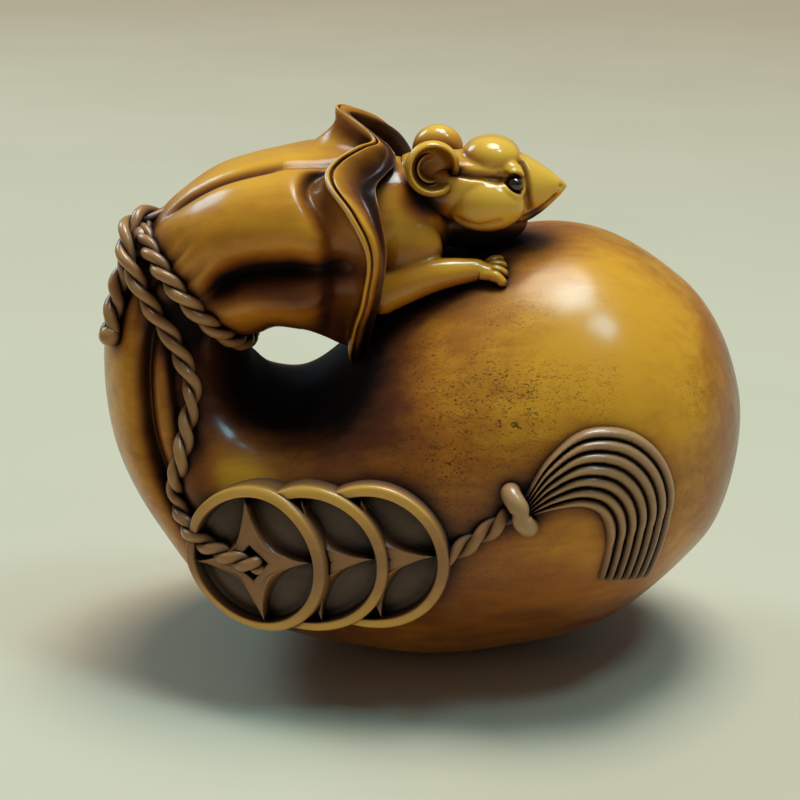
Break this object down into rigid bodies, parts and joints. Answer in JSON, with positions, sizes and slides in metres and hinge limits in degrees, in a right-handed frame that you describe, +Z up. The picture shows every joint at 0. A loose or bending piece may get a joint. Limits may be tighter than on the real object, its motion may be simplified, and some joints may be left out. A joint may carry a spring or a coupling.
{
  "type": "netsuke",
  "caption": "Carved wooden netsuke: a mouse leans out of the ruffled mouth of a rope-tied sack, with pierced coins and a tassel in relief.",
  "frame": {"origin": "middle of the bounding box at the level of the flat spot the carving stands on", "axes": "+Z up, +X from the tied neck of the sack towards its round end, -Y towards the side with the coins and the tassel"},
  "size_m": [0.0496, 0.0352, 0.0435],
  "materials": {
    "polished_wood": "stained and polished, dark in the recesses",
    "dark_horn": "polished dark horn"
  },
  "bodies": {
    "root": {"carving": "polished_wood", "eye_near": "dark_horn", "eye_far": "dark_horn"}
  },
  "joints": []
}
